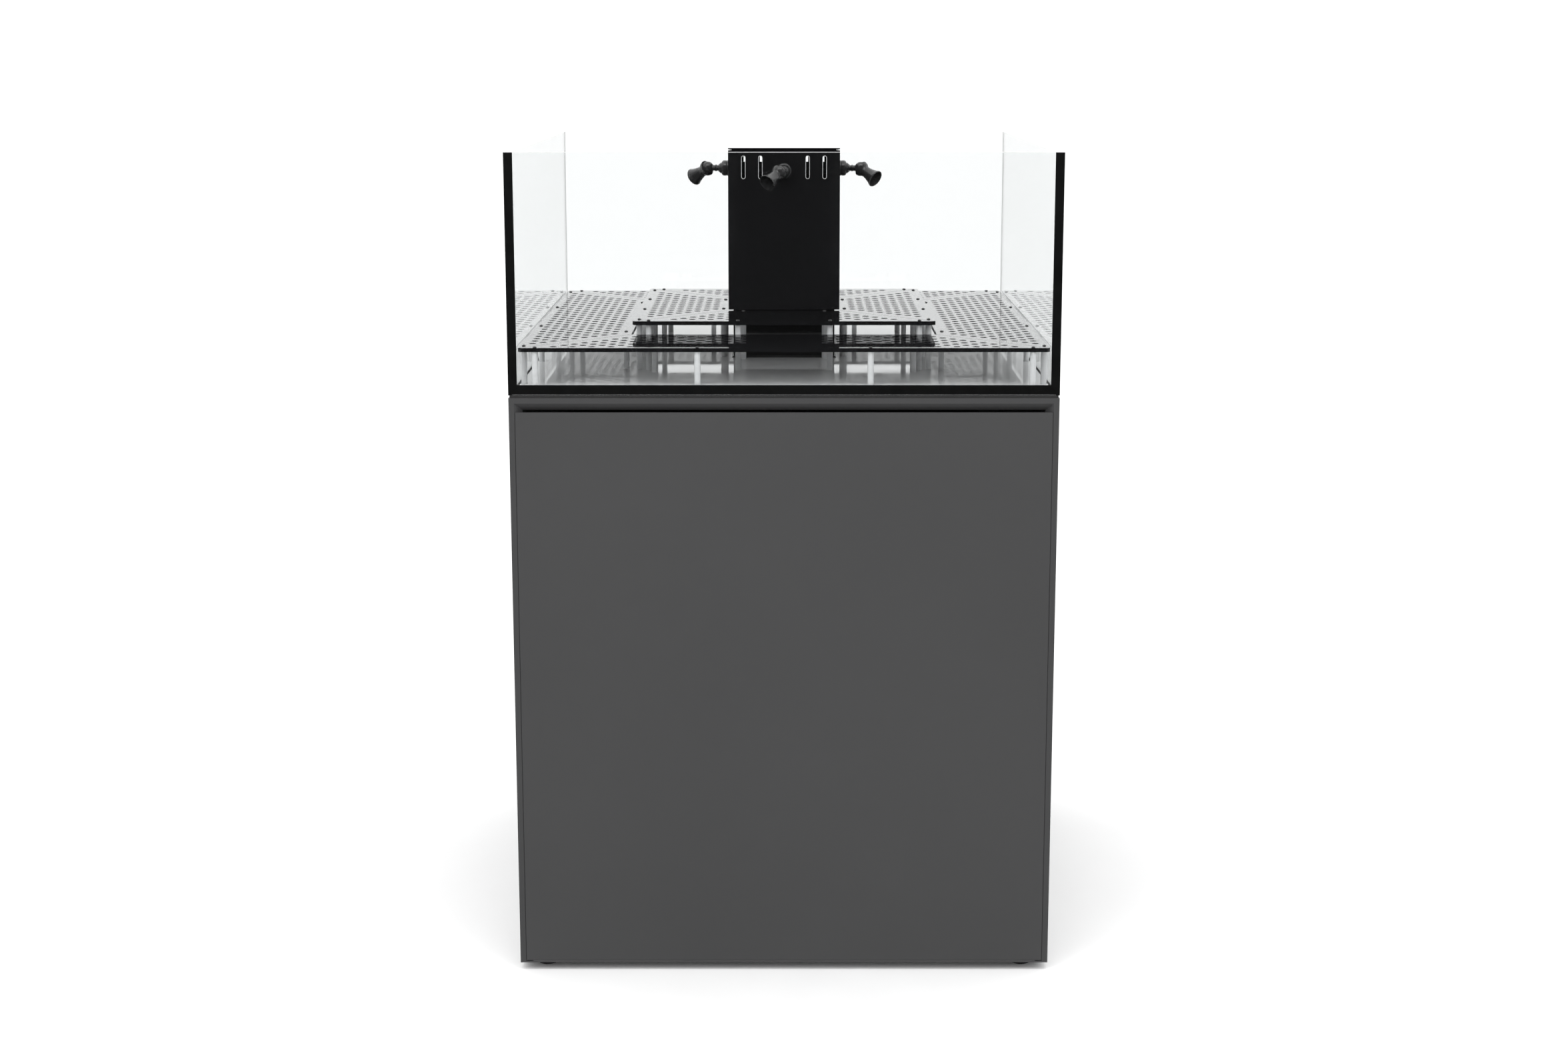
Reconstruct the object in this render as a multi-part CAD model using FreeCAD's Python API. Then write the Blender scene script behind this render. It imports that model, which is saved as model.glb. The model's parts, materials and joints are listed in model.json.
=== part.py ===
import FreeCAD, Part
import math
import os

from FreeCAD import Vector

# Rimless shallow aquarium on a cabinet stand. Millimetres, +Z up, front towards -Y.
# The origin is on the floor, under the middle of the stand.

# ---------------------------------------------------------------- overall sizes
TANK_WIDTH = 800.0
TANK_DEPTH = 800.0
TANK_HEIGHT = 350.0
FOOT_HEIGHT = 12.0
CABINET_HEIGHT = 868.0
MAT_THICKNESS = 4.0

# ---------------------------------------------------------------- sheet stock
GLASS = 12.0
SEAM = 1.0
BEAD = 2.0
BOARD = 19.0
BACK_BOARD = 10.0
BACK_INSET = 4.0
MAT_INSET = 1.5

# ---------------------------------------------------------------- carcass edges and door
FRONT_LIP = 8.0
BOTTOM_LIP = 2.2
DOOR_GAP = 1.3
PULL_HEIGHT = 13.2
PULL_EDGE = 3.0
PULL_BEVEL = 15.0
SERVICE_HOLE = 168.0
BACK_CUTOUT_WIDTH = 180.0
BACK_CUTOUT_HEIGHT = 120.0
BACK_CUTOUT_RADIUS = 20.0
BACK_CUTOUT_SIDE_MARGIN = 90.0
BACK_CUTOUT_RISE = 420.0
OVERCUT = 1.0

# ---------------------------------------------------------------- door fittings
HINGE_COUNT = 3
HINGE_END_MARGIN = 95.0
CUP_RADIUS = 17.5
CUP_DEPTH = 12.0
CUP_WALL = 1.5
CUP_FLANGE = 24.0
CUP_FLANGE_THICKNESS = 1.2
CUP_EDGE_MARGIN = 4.5
CUP_WING_BACKSET = 2.0
CUP_FIT = 0.05
ARM_PLATE_THICKNESS = 3.0
ARM_PLATE_LENGTH = 48.0
ARM_PLATE_HALF_HEIGHT = 25.0
ARM_HALF_HEIGHT = 6.0
ARM_THICKNESS = 10.0
ARM_TIP_DEPTH = 5.0
ARM_TIP_LENGTH = 12.0
CATCH_SIZE = 30.0
CATCH_HEIGHT = 14.0
CATCH_GAP = 0.3
STRIKE_THICKNESS = 1.5
STRIKE_OVERLAP = 4.0
CATCH_OFFSET = 300.0

# ---------------------------------------------------------------- levelling feet
FOOT_RADIUS = 18.0
FOOT_INSET = 38.0
STUD_RADIUS = 5.0
STUD_CLEARANCE = 0.06
STUD_LENGTH = 15.0
STUD_HOLE_SPARE = 1.0

# ---------------------------------------------------------------- frag racks
PLATE = 6.0
HOLE_RADIUS = 5.25
HOLE_PITCH = 28.0
LEG_RADIUS = 4.5
RACK_SEAM = 1.0
RACK_CORNER_CLIP = 4.0
RACK_GLASS_GAP = 2.0
RACK_STEP = 20.0
RACK_RING_GAP = 2.0
LOWER_LEG = 50.0
LOWER_RING_WIDTH = 154.0
LOWER_FIRST_COLUMN = 16.0
UPPER_FIRST_COLUMN = 23.5
UPPER_TOWER_GAP = 0.5
CORNER_MARGIN = 34.0
INNER_MARGIN = 20.0
LEG_EDGE = 6.0
UPPER_LEG_EDGE = 9.0
INNER_LEG_EDGE = 10.0
UPPER_INNER_LEG_EDGE = 8.0
LEG_CORNER = 24.0
INNER_LEG_CORNER = 36.0
LOWER_LEG_BAYS = 4.5
UPPER_LEG_BAYS = 2.5

# ---------------------------------------------------------------- overflow tower
WEIR_HALF = 80.0
WEIR_WALL = 6.0
COVER_HALF = 87.5
COVER_WALL = 5.0
COVER_RACK_GAP = 1.0
COVER_BELOW_RIM = 11.3
WEIR_BELOW_COVER = 50.7
POST = 15.0
SLOT_WIDTH = 6.0
SLOT_LENGTH = 35.6
SLOT_BELOW_COVER = 8.3
SLOT_INNER = 37.0
SLOT_OUTER = 63.5
LID_THICKNESS = 2.0
LID_REVEAL = 1.7
LID_PLUG = 5.0
LID_CLEARANCE = 0.5

# ---------------------------------------------------------------- return nozzles
NOZZLE_BELOW_COVER = 31.7
SOCKET_RADIUS = 12.25
SOCKET_LENGTH = 12.0
SOCKET_BALL_CENTRE = 10.0
SPIGOT_RADIUS = 8.0
SPIGOT_LENGTH = 13.0
SPIGOT_BORE = 4.0
SPIGOT_FIT = 0.05
SPIGOT_NUT = 12.0
SPIGOT_NUT_LENGTH = 4.0
SOCKET_NOSE = 2.5
SOCKET_NOSE_TAPER = 1.6
BALL_CLEARANCE = 0.3
LINK_BALL = 9.0
LINK_LENGTH = 26.0
LINK_NECK = 4.5
LINK_BORE = 2.6
FLARE_BALL = 10.0
FLARE_WALL = 2.2
FLARE_BACK = 1.0
FLARE_LENGTH = 34.0
FLARE_WAIST_AT = 13.0
FLARE_WAIST = 8.6
FLARE_MOUTH = 14.0
FLARE_SWELL = 1.0
FLARE_SWELL_LENGTH = 8.0
FLARE_LIP = 1.6
FLARE_LIP_LENGTH = 5.0
FLARE_SHELL = 1.4
FLARE_THROAT_WALL = 2.4
FLARE_SWELL_WALL = 1.6
LINK_YAW = 15.0
FLARE_YAW = 40.0
FLARE_DROP = 28.0

# ---------------------------------------------------------------- plumbing
PIPE_RADIUS = 12.5
PIPE_WALL = 2.0
PIPE_FIT = 0.05
BEND_RADIUS = 34.0
ELBOW_WALL = 3.95
ELBOW_LEG = 16.0
DRAIN_OFFSET = 42.0
BULKHEAD_WALL = 3.95
BULKHEAD_FIT = 0.5
BULKHEAD_FLANGE_RIM = 7.5
BULKHEAD_FLANGE_THICKNESS = 10.0
BULKHEAD_NUT_RIM = 10.5
BULKHEAD_NUT_THICKNESS = 10.0
BULKHEAD_TAIL = 50.0
STANDPIPE_BELOW_WEIR = 42.0
MANIFOLD_ARM = 10.0
MANIFOLD_HUB = 17.0
MANIFOLD_HUB_ABOVE = 15.0
PIPE_END_GAP = 1.0
PIPE_BELOW_WATER = 30.0
DRAIN_X = -190.0
DRAIN_BEND_BELOW_TANK = 244.0
RETURN_BEND_BELOW_TANK = 184.0
VALVE_WALL = 9.45
VALVE_UNION_WALL = 13.45
VALVE_HALF_LENGTH = 42.0
VALVE_UNION_LENGTH = 16.0
VALVE_ABOVE_SUMP = 120.0
STEM_RADIUS = 6.0
STEM_PROUD = 1.5
HANDLE_STANDOFF = 1.0
HANDLE_GAP = 0.3
HANDLE_HUB = 13.0
HANDLE_LENGTH = 36.0
HANDLE_WIDTH = 12.0
HANDLE_THICKNESS = 9.0
STEM_CLEARANCE = 0.06

# ---------------------------------------------------------------- sump, filter cup and pump
SUMP_WIDTH = 580.0
SUMP_DEPTH = 400.0
SUMP_HEIGHT = 380.0
SUMP_GLASS = 8.0
SUMP_BACKSET = 10.0
BAFFLE_HEIGHT = 250.0
BAFFLE_OFFSET = 90.0
HOLDER_THICKNESS = 6.0
CUP_BODY_RADIUS = 50.0
CUP_BODY_HEIGHT = 180.0
CUP_RIM_RADIUS = 60.0
CUP_RIM_THICKNESS = 4.0
CUP_BODY_WALL = 3.0
CUP_CLEARANCE = 1.0
CUP_PIPE_DEPTH = 87.0
PUMP_X = 190.0
PUMP_RADIUS = 40.0
PUMP_LENGTH = 80.0
VOLUTE_RADIUS = 47.0
VOLUTE_HALF_WIDTH = 17.0
PUMP_FOOT = 6.0
PUMP_OUTLET_WALL = 4.45
PUMP_OUTLET_RISE = 25.0
PUMP_SOCKET_DEPTH = 25.0
PUMP_INTAKE_LENGTH = 18.0
PUMP_SHELL = 6.0
PUMP_OVERLAP = 1.0
PUMP_SADDLE_INSET = 5.0

# ---------------------------------------------------------------- derived levels and planes
HALF_X = TANK_WIDTH / 2
HALF_Y = TANK_DEPTH / 2
CARCASS_TOP = FOOT_HEIGHT + CABINET_HEIGHT
TANK_BOTTOM = CARCASS_TOP + MAT_THICKNESS
TANK_TOP = TANK_BOTTOM + TANK_HEIGHT
TANK_FLOOR = TANK_BOTTOM + GLASS
BAY_FLOOR = FOOT_HEIGHT + BOARD
BAY_TOP = CARCASS_TOP - BOARD
BAY_HALF_X = HALF_X - BOARD
FRONT = -HALF_Y
DOOR_BACK = FRONT + BOARD
DOOR_HALF = HALF_X - FRONT_LIP - DOOR_GAP
DOOR_BOTTOM = FOOT_HEIGHT + BOTTOM_LIP + DOOR_GAP
DOOR_TOP = CARCASS_TOP - FRONT_LIP - PULL_HEIGHT
SIDE_BEVEL = BOARD - FRONT_LIP
BOTTOM_BEVEL = BOARD - BOTTOM_LIP
LOWER_OUTER = (HALF_X - GLASS - RACK_GLASS_GAP, HALF_Y - GLASS - RACK_GLASS_GAP)
LOWER_INNER = (LOWER_OUTER[0] - LOWER_RING_WIDTH, LOWER_OUTER[1] - LOWER_RING_WIDTH)
UPPER_OUTER = (LOWER_INNER[0] - RACK_RING_GAP, LOWER_INNER[1] - RACK_RING_GAP)
UPPER_INNER = (COVER_HALF + UPPER_TOWER_GAP, COVER_HALF + UPPER_TOWER_GAP)
LOWER_PLATE = TANK_FLOOR + LOWER_LEG
UPPER_LEG = LOWER_LEG + RACK_STEP
UPPER_PLATE = TANK_FLOOR + UPPER_LEG
COVER_BOTTOM = UPPER_PLATE + PLATE + COVER_RACK_GAP
COVER_TOP = TANK_TOP - COVER_BELOW_RIM
WEIR_TOP = COVER_TOP - WEIR_BELOW_COVER
POST_TOP = COVER_TOP - LID_PLUG
COVER_BORE = COVER_HALF - COVER_WALL
NOZZLE_LEVEL = COVER_TOP - NOZZLE_BELOW_COVER
SUMP_TOP = BAY_FLOOR + SUMP_HEIGHT
SUMP_FLOOR = BAY_FLOOR + SUMP_GLASS
HOLDER_TOP = SUMP_TOP + HOLDER_THICKNESS
VALVE_LEVEL = SUMP_TOP + VALVE_ABOVE_SUMP
PUMP_LEVEL = SUMP_FLOOR + PUMP_FOOT + VOLUTE_RADIUS
CUP_X = -DOOR_HALF + SIDE_BEVEL + CUP_EDGE_MARGIN + CUP_RADIUS
PIPE_BORE = PIPE_RADIUS - PIPE_WALL
PIPE_SOCKET = PIPE_RADIUS + PIPE_FIT
ELBOW_RADIUS = PIPE_SOCKET + ELBOW_WALL
BULKHEAD_RADIUS = PIPE_SOCKET + BULKHEAD_WALL
BULKHEAD_FLANGE = BULKHEAD_RADIUS + BULKHEAD_FLANGE_RIM
BULKHEAD_NUT = BULKHEAD_RADIUS + BULKHEAD_NUT_RIM
VALVE_RADIUS = PIPE_SOCKET + VALVE_WALL
VALVE_UNION = PIPE_SOCKET + VALVE_UNION_WALL
PUMP_OUTLET = PIPE_SOCKET + PUMP_OUTLET_WALL

UP = Vector(0, 0, 1)
NODES = {}


# ---------------------------------------------------------------- helpers
def box(x0, x1, y0, y1, z0, z1):
    return Part.makeBox(x1 - x0, y1 - y0, z1 - z0, Vector(x0, y0, z0))


def square_tube(half, wall, z0, z1):
    outer = box(-half, half, -half, half, z0, z1)
    inner = half - wall
    return outer.cut(box(-inner, inner, -inner, inner, z0 - OVERCUT, z1 + OVERCUT))


def rod(radius, start, end):
    path = end.sub(start)
    return Part.makeCylinder(radius, path.Length, start, path)


def ring(outer, inner, start, end):
    return rod(outer, start, end).cut(rod(inner, start, end))


def face_of(points):
    return Part.Face(Part.makePolygon(points + [points[0]]))


def prism_x(points, x0, x1):
    outline = [Vector(x0, y, z) for y, z in points]
    return face_of(outline).extrude(Vector(x1 - x0, 0, 0))


def prism_y(points, y0, y1):
    outline = [Vector(x, y0, z) for x, z in points]
    return face_of(outline).extrude(Vector(0, y1 - y0, 0))


def prism_z(points, z0, z1):
    outline = [Vector(x, y, z0) for x, y in points]
    return face_of(outline).extrude(Vector(0, 0, z1 - z0))


def turned(shape, quarter):
    copy = shape.copy()
    copy.rotate(Vector(0, 0, 0), UP, 90.0 * quarter)
    return copy


def mirrored_x(shape):
    return shape.mirror(Vector(0, 0, 0), Vector(1, 0, 0))


def joined(shapes):
    return shapes[0].fuse(shapes[1:]).removeSplitter()


def save(name, shape):
    NODES[name] = shape
    shape.exportStep("parts/" + name + ".step")


def bend_between(before, corner, after, radius):
    """Tangent points and arc of a round bend at a corner of a pipe run."""
    back = before.sub(corner).normalize()
    ahead = after.sub(corner).normalize()
    half_turn = back.getAngle(ahead) / 2
    reach = radius / math.tan(half_turn)
    start = corner.add(Vector(back).multiply(reach))
    end = corner.add(Vector(ahead).multiply(reach))
    inward = Vector(back).add(ahead).normalize()
    depth = radius / math.sin(half_turn) - radius
    middle = corner.add(Vector(inward).multiply(depth))
    return start, middle, end


def swept(points, radius):
    """A round bar along straight runs joined by tangent arcs."""
    edges = []
    place = points[0]
    for before, corner, after in zip(points, points[1:], points[2:]):
        start, middle, end = bend_between(before, corner, after, BEND_RADIUS)
        edges.append(Part.LineSegment(place, start).toShape())
        edges.append(Part.Arc(start, middle, end).toShape())
        place = end
    edges.append(Part.LineSegment(place, points[-1]).toShape())
    direction = points[1].sub(points[0])
    profile = Part.Wire([Part.makeCircle(radius, points[0], direction)])
    return Part.Wire(edges).makePipeShell([profile], True, False)


def pipe(points):
    if len(points) == 2:
        return ring(PIPE_RADIUS, PIPE_BORE, points[0], points[1])
    return swept(points, PIPE_RADIUS).cut(swept(points, PIPE_BORE))


def elbow(before, corner, after):
    """A socketed elbow that slips over the pipe at one bend."""
    reach = BEND_RADIUS + ELBOW_LEG
    start = corner.add(before.sub(corner).normalize().multiply(reach))
    end = corner.add(after.sub(corner).normalize().multiply(reach))
    return swept([start, corner, end], ELBOW_RADIUS).cut(swept([start, corner, end], PIPE_SOCKET))


# ---------------------------------------------------------------- cabinet
def side_panel():
    """Left panel: mitred to the top, with its front edge bevelled behind a narrow lip."""
    outline = [(-HALF_X, FOOT_HEIGHT), (-HALF_X, CARCASS_TOP),
               (-BAY_HALF_X, BAY_TOP), (-BAY_HALF_X, FOOT_HEIGHT)]
    panel = prism_y(outline, FRONT, HALF_Y)
    edge = -HALF_X + FRONT_LIP
    wedge = [(edge, FRONT), (-BAY_HALF_X, FRONT), (-BAY_HALF_X, FRONT + SIDE_BEVEL)]
    return panel.cut(prism_z(wedge, FOOT_HEIGHT + BOTTOM_LIP, CARCASS_TOP))


def top_panel():
    outline = [(-HALF_X, CARCASS_TOP), (HALF_X, CARCASS_TOP),
               (BAY_HALF_X, BAY_TOP), (-BAY_HALF_X, BAY_TOP)]
    panel = prism_y(outline, FRONT, HALF_Y)
    wedge = [(FRONT, CARCASS_TOP - FRONT_LIP), (FRONT, BAY_TOP), (FRONT + SIDE_BEVEL, BAY_TOP)]
    half = SERVICE_HOLE / 2
    hole = box(-half, half, -half, half, BAY_TOP, CARCASS_TOP)
    return panel.cut([prism_x(wedge, -HALF_X, HALF_X), hole])


def foot_centres():
    x = HALF_X - FOOT_INSET
    y = HALF_Y - FOOT_INSET
    return {"front_left": (-x, -y), "front_right": (x, -y), "back_left": (-x, y), "back_right": (x, y)}


def bottom_panel():
    panel = box(-BAY_HALF_X, BAY_HALF_X, FRONT, HALF_Y, FOOT_HEIGHT, BAY_FLOOR)
    lip_top = FOOT_HEIGHT + BOTTOM_LIP
    wedge = [(FRONT, lip_top), (FRONT, BAY_FLOOR), (FRONT + BOTTOM_BEVEL, BAY_FLOOR)]
    cuts = [prism_x(wedge, -HALF_X, HALF_X)]
    hole_top = FOOT_HEIGHT + STUD_LENGTH + STUD_HOLE_SPARE
    for x, y in foot_centres().values():
        cuts.append(rod(STUD_RADIUS + STUD_CLEARANCE, Vector(x, y, FOOT_HEIGHT), Vector(x, y, hole_top)))
    return panel.cut(cuts)


def back_cutout(x, z, y0, y1):
    """A round-cornered cutter running along Y."""
    half_x = BACK_CUTOUT_WIDTH / 2
    half_z = BACK_CUTOUT_HEIGHT / 2
    radius = BACK_CUTOUT_RADIUS
    pieces = [
        box(x - half_x, x + half_x, y0, y1, z - half_z + radius, z + half_z - radius),
        box(x - half_x + radius, x + half_x - radius, y0, y1, z - half_z, z + half_z),
    ]
    for dx in (-half_x + radius, half_x - radius):
        for dz in (-half_z + radius, half_z - radius):
            pieces.append(rod(radius, Vector(x + dx, y0, z + dz), Vector(x + dx, y1, z + dz)))
    return joined(pieces)


def back_panel():
    y1 = HALF_Y - BACK_INSET
    y0 = y1 - BACK_BOARD
    panel = box(-BAY_HALF_X, BAY_HALF_X, y0, y1, BAY_FLOOR, BAY_TOP)
    x = BAY_HALF_X - BACK_CUTOUT_SIDE_MARGIN - BACK_CUTOUT_WIDTH / 2
    z = BAY_FLOOR + BACK_CUTOUT_RISE + BACK_CUTOUT_HEIGHT / 2
    return panel.cut([back_cutout(side * x, z, y0 - OVERCUT, y1 + OVERCUT) for side in (-1, 1)])


def levelling_mat():
    x = HALF_X - MAT_INSET
    y = HALF_Y - MAT_INSET
    half = SERVICE_HOLE / 2
    mat = box(-x, x, -y, y, CARCASS_TOP, TANK_BOTTOM)
    return mat.cut(box(-half, half, -half, half, CARCASS_TOP, TANK_BOTTOM))


def levelling_foot(x, y):
    disc = rod(FOOT_RADIUS, Vector(x, y, 0), Vector(x, y, FOOT_HEIGHT))
    stud = rod(STUD_RADIUS, Vector(x, y, 0), Vector(x, y, FOOT_HEIGHT + STUD_LENGTH))
    return disc.fuse(stud)


# ---------------------------------------------------------------- door
def hinge_levels():
    low = DOOR_BOTTOM + HINGE_END_MARGIN
    high = DOOR_TOP - HINGE_END_MARGIN
    step = (high - low) / (HINGE_COUNT - 1)
    return [low + step * i for i in range(HINGE_COUNT)]


def door_panel():
    """A flush door: its sides and foot follow the carcass bevels, its head slopes back for fingers."""
    panel = box(-DOOR_HALF, DOOR_HALF, FRONT, DOOR_BACK, DOOR_BOTTOM, DOOR_TOP)
    corner = DOOR_HALF - SIDE_BEVEL
    side = [(DOOR_HALF, FRONT), (DOOR_HALF, DOOR_BACK), (corner, DOOR_BACK), (corner, FRONT + SIDE_BEVEL)]
    side_cut = prism_z(side, DOOR_BOTTOM, DOOR_TOP)
    bevel_back = FRONT + BOTTOM_BEVEL
    bevel_top = DOOR_BOTTOM + BOTTOM_BEVEL
    foot = [(FRONT, DOOR_BOTTOM), (bevel_back, bevel_top), (DOOR_BACK, bevel_top), (DOOR_BACK, DOOR_BOTTOM)]
    head_start = FRONT + PULL_EDGE
    head_end = head_start + PULL_BEVEL
    head_low = DOOR_TOP - PULL_BEVEL
    head = [(head_start, DOOR_TOP), (head_end, head_low), (DOOR_BACK, head_low), (DOOR_BACK, DOOR_TOP)]
    cuts = [side_cut, mirrored_x(side_cut), prism_x(foot, -HALF_X, HALF_X), prism_x(head, -HALF_X, HALF_X)]
    for z in hinge_levels():
        pocket_floor = Vector(CUP_X, DOOR_BACK - CUP_DEPTH, z)
        cuts.append(rod(CUP_RADIUS + CUP_FIT, pocket_floor, Vector(CUP_X, DOOR_BACK, z)))
    return panel.cut(cuts)


def hinge_cups():
    cups = []
    for z in hinge_levels():
        floor = Vector(CUP_X, DOOR_BACK - CUP_DEPTH, z)
        inner_floor = Vector(CUP_X, DOOR_BACK - CUP_DEPTH + CUP_WALL, z)
        rim = Vector(CUP_X, DOOR_BACK, z)
        rim_top = Vector(CUP_X, DOOR_BACK + CUP_FLANGE_THICKNESS, z)
        body = rod(CUP_RADIUS, floor, rim).fuse(rod(CUP_RADIUS + CUP_WALL, rim, rim_top))
        wing = box(CUP_X - CUP_WING_BACKSET, CUP_X + CUP_RADIUS, DOOR_BACK, DOOR_BACK + CUP_FLANGE_THICKNESS,
                   z - CUP_FLANGE, z + CUP_FLANGE)
        cup = joined([body, wing]).cut(rod(CUP_RADIUS - CUP_WALL, inner_floor, rim_top))
        cups.append(cup)
    return Part.makeCompound(cups)


def hinge_arms():
    """Mounting plates on the left panel, each with an arm whose tip stands in the open cup."""
    arms = []
    plate_x = -BAY_HALF_X + ARM_PLATE_THICKNESS
    tip_front = DOOR_BACK - ARM_TIP_DEPTH
    arm_front = DOOR_BACK + ARM_PLATE_THICKNESS + CUP_FLANGE_THICKNESS
    arm_back = arm_front + ARM_PLATE_LENGTH
    tip_x = CUP_X + ARM_TIP_LENGTH / 2
    for z in hinge_levels():
        plate = box(-BAY_HALF_X, plate_x, arm_front + ARM_THICKNESS, arm_back,
                    z - ARM_PLATE_HALF_HEIGHT, z + ARM_PLATE_HALF_HEIGHT)
        low = z - ARM_HALF_HEIGHT
        high = z + ARM_HALF_HEIGHT
        arm = box(plate_x, plate_x + ARM_THICKNESS, arm_front, arm_back, low, high)
        bridge = box(plate_x, tip_x, arm_front, arm_front + ARM_THICKNESS, low, high)
        tip = box(tip_x - ARM_TIP_LENGTH, tip_x, tip_front, arm_front, low, high)
        arms.append(joined([plate, arm, bridge, tip]))
    return Part.makeCompound(arms)


def door_catch():
    x0 = CATCH_OFFSET - CATCH_SIZE / 2
    x1 = CATCH_OFFSET + CATCH_SIZE / 2
    y0 = DOOR_BACK + STRIKE_THICKNESS + CATCH_GAP
    low = DOOR_TOP - PULL_BEVEL - CATCH_HEIGHT
    block = box(x0, x1, y0, y0 + CATCH_SIZE, low, low + CATCH_HEIGHT)
    stem = box(x0, x1, y0 + CATCH_SIZE / 2, y0 + CATCH_SIZE, low, BAY_TOP)
    return joined([block, stem])


def door_strike():
    x0 = CATCH_OFFSET - CATCH_SIZE / 2
    x1 = CATCH_OFFSET + CATCH_SIZE / 2
    high = DOOR_TOP - PULL_BEVEL
    low = high - CATCH_HEIGHT - STRIKE_OVERLAP
    return box(x0, x1, DOOR_BACK, DOOR_BACK + STRIKE_THICKNESS, low, high)


# ---------------------------------------------------------------- tank
def end_pane():
    """The front pane covers the ends of the side panes and the edge of the base."""
    return box(-HALF_X, HALF_X, FRONT, FRONT + GLASS, TANK_BOTTOM, TANK_TOP)


def left_pane():
    y = HALF_Y - GLASS - SEAM
    return box(-HALF_X, -HALF_X + GLASS, -y, y, TANK_BOTTOM, TANK_TOP)


def bulkhead_centres():
    return [(0, 0), (-DRAIN_OFFSET, -DRAIN_OFFSET), (DRAIN_OFFSET, DRAIN_OFFSET)]


def base_pane():
    x = HALF_X - GLASS - SEAM
    y = HALF_Y - GLASS - SEAM
    holes = []
    for cx, cy in bulkhead_centres():
        hole = rod(BULKHEAD_RADIUS + BULKHEAD_FIT, Vector(cx, cy, TANK_BOTTOM), Vector(cx, cy, TANK_FLOOR))
        holes.append(hole)
    return box(-x, x, -y, y, TANK_BOTTOM, TANK_FLOOR).cut(holes)


def silicone_seams():
    """Glue lines between the panes, with a small bead round the edge of the floor."""
    inner = HALF_X - GLASS
    band_y = -HALF_Y + GLASS
    front = box(-HALF_X, HALF_X, band_y, band_y + SEAM, TANK_BOTTOM, TANK_TOP)
    window = box(-inner, inner, band_y, band_y + SEAM, TANK_FLOOR, TANK_TOP)
    front = front.cut(window)
    inner_y = HALF_Y - GLASS - SEAM
    left = box(-inner, -inner + SEAM, -inner_y, inner_y, TANK_BOTTOM, TANK_FLOOR)
    face_y = HALF_Y - GLASS
    low_front = [(-face_y, TANK_FLOOR), (-face_y + BEAD, TANK_FLOOR), (-face_y, TANK_FLOOR + BEAD)]
    front_bead = prism_x(low_front, -inner, inner)
    low_left = [(-inner, TANK_FLOOR), (-inner + BEAD, TANK_FLOOR), (-inner, TANK_FLOOR + BEAD)]
    left_bead = prism_y(low_left, -face_y, face_y)
    half = [front, left, front_bead, left_bead]
    return joined(half + [turned(piece, 2) for piece in half])


# ---------------------------------------------------------------- frag racks
def rack_outline(outer, inner):
    """Front section of a ring, cut on its mitre lines with its outer corners clipped.

    outer and inner are (half length along the section, half depth) of the whole ring.
    """
    run = outer[0] - inner[0]
    rise = outer[1] - inner[1]
    mitre = math.hypot(run, rise)
    gap = RACK_SEAM / 2 * mitre / rise
    reach = (run + rise - RACK_CORNER_CLIP + gap) / (run + rise)
    half = [
        (outer[0] - RACK_CORNER_CLIP, -outer[1]),
        (inner[0] - gap + reach * run, -inner[1] - reach * rise),
        (inner[0] - gap, -inner[1]),
    ]
    return half + [(-x, y) for x, y in reversed(half)]


def rack_holes(outer, inner, first_column):
    """Staggered holes in rows half a pitch apart, each row as long as the mitres leave room for."""
    depth = outer[1] - first_column
    slope = (outer[0] - inner[0]) / (outer[1] - inner[1])
    centres = []
    row = 0
    while depth >= inner[1] + INNER_MARGIN:
        room = inner[0] + (depth - inner[1]) * slope - CORNER_MARGIN
        if row % 2:
            count = 2 * math.floor(room / HOLE_PITCH + 0.5)
        else:
            count = 2 * math.floor(room / HOLE_PITCH) + 1
        for k in range(count):
            centres.append(((k - (count - 1) / 2) * HOLE_PITCH, -depth))
        depth -= HOLE_PITCH / 2
        row += 1
    return centres


def rack_plate(outer, inner, first_column, level):
    outline = [Vector(x, y, level) for x, y in rack_outline(outer, inner)]
    wires = [Part.makePolygon(outline + [outline[0]])]
    for x, y in rack_holes(outer, inner, first_column):
        wires.append(Part.Wire([Part.makeCircle(HOLE_RADIUS, Vector(x, y, level), UP)]))
    return Part.makeFace(wires, "Part::FaceMakerBullseye").extrude(Vector(0, 0, PLATE))


def leg_places(outer_x, outer_row, inner_x, inner_row, bays):
    """A leg beside each corner, one further in on the outer edge and one on the inner edge, both ways."""
    places = []
    for side in (-1, 1):
        places.append((side * bays * HOLE_PITCH, -outer_row))
        places.append((side * outer_x, -outer_row))
        places.append((side * inner_x, -inner_row))
    return places


def lower_leg_places(outer, inner):
    return leg_places(outer[0] - LEG_CORNER, outer[1] - LEG_EDGE,
                      inner[0] - INNER_LEG_CORNER, inner[1] + INNER_LEG_EDGE, LOWER_LEG_BAYS)


def upper_leg_places(outer, inner):
    return leg_places(outer[0] - LEG_CORNER, outer[1] - UPPER_LEG_EDGE,
                      inner[0] - LEG_CORNER, inner[1] + UPPER_INNER_LEG_EDGE, UPPER_LEG_BAYS)


def rack_legs(places, level):
    return [rod(LEG_RADIUS, Vector(x, y, TANK_FLOOR), Vector(x, y, level)) for x, y in places]


# ---------------------------------------------------------------- overflow tower
def weir_box():
    return square_tube(WEIR_HALF, WEIR_WALL, TANK_FLOOR, WEIR_TOP)


def slot_cutter(x):
    """A round-ended slot that runs through both faces along Y."""
    top = COVER_TOP - SLOT_BELOW_COVER
    low = top - SLOT_LENGTH
    radius = SLOT_WIDTH / 2
    reach = COVER_HALF + OVERCUT
    pieces = [box(x - radius, x + radius, -reach, reach, low + radius, top - radius)]
    for z in (low + radius, top - radius):
        pieces.append(rod(radius, Vector(x, -reach, z), Vector(x, reach, z)))
    return joined(pieces)


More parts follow.
